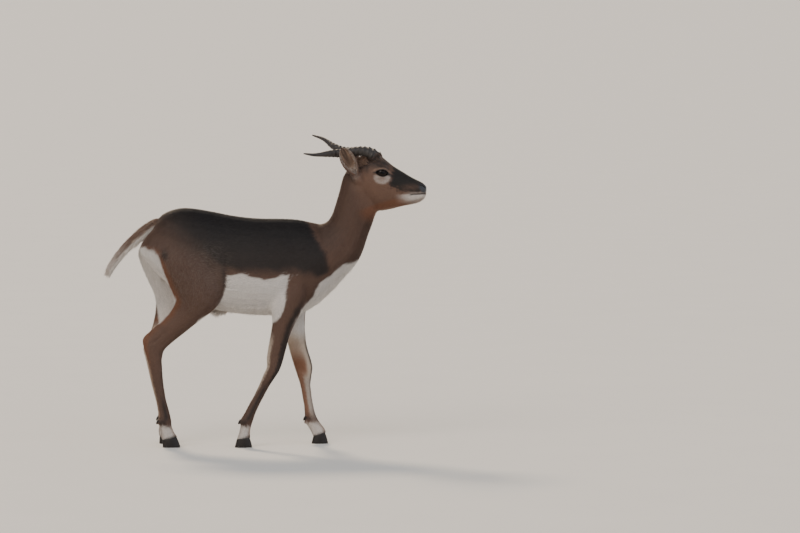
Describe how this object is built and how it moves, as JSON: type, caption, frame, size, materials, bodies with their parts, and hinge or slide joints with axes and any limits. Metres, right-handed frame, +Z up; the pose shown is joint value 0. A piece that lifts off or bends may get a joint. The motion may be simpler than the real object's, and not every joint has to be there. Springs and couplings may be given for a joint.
{
  "type": "blackbuck",
  "caption": "Life-size still model of a young male blackbuck, walking, with ringed spiral horns.",
  "frame": {"origin": "on the floor under the middle of the animal's outer box", "axes": "+X the way the animal faces, +Y its left side, +Z up"},
  "size_m": [1.0822, 0.2634, 1.038],
  "materials": {
    "body_coat": "short dense dark brown to black hair, white below",
    "neck_coat": "short brown hair",
    "face_coat": "very short hair, black mask, pale eye ring and lips",
    "tail_hair": "longer hair, brown above and pale below",
    "leg_coat": "short brown hair with a dark stripe and pale inside",
    "foot_coat": "short greyish hair over the pastern",
    "ear_skin": "thin skin with fine hair, pale inside",
    "eye": "wet, dark, very glossy",
    "horn_sheath": "ringed horn, dark grey, slightly polished",
    "hoof": "dark horn, dull"
  },
  "bodies": {
    "root": {"torso": "body_coat", "neck": "neck_coat", "head": "face_coat", "tail": "tail_hair", "ear_right": "ear_skin", "ear_left": "ear_skin", "eye_right": "eye", "eye_left": "eye", "horn_right": "horn_sheath", "horn_left": "horn_sheath", "fore_right_forearm": "leg_coat", "fore_right_cannon": "leg_coat", "fore_right_foot": "foot_coat", "fore_right_inner_claw": "hoof", "fore_right_outer_claw": "hoof", "fore_left_forearm": "leg_coat", "fore_left_cannon": "leg_coat", "fore_left_foot": "foot_coat", "fore_left_inner_claw": "hoof", "fore_left_outer_claw": "hoof", "hind_right_thigh": "leg_coat", "hind_right_gaskin": "leg_coat", "hind_right_cannon": "leg_coat", "hind_right_foot": "foot_coat", "hind_right_inner_claw": "hoof", "hind_right_outer_claw": "hoof", "hind_left_thigh": "leg_coat", "hind_left_gaskin": "leg_coat", "hind_left_cannon": "leg_coat", "hind_left_foot": "foot_coat", "hind_left_inner_claw": "hoof", "hind_left_outer_claw": "hoof"}
  },
  "joints": []
}
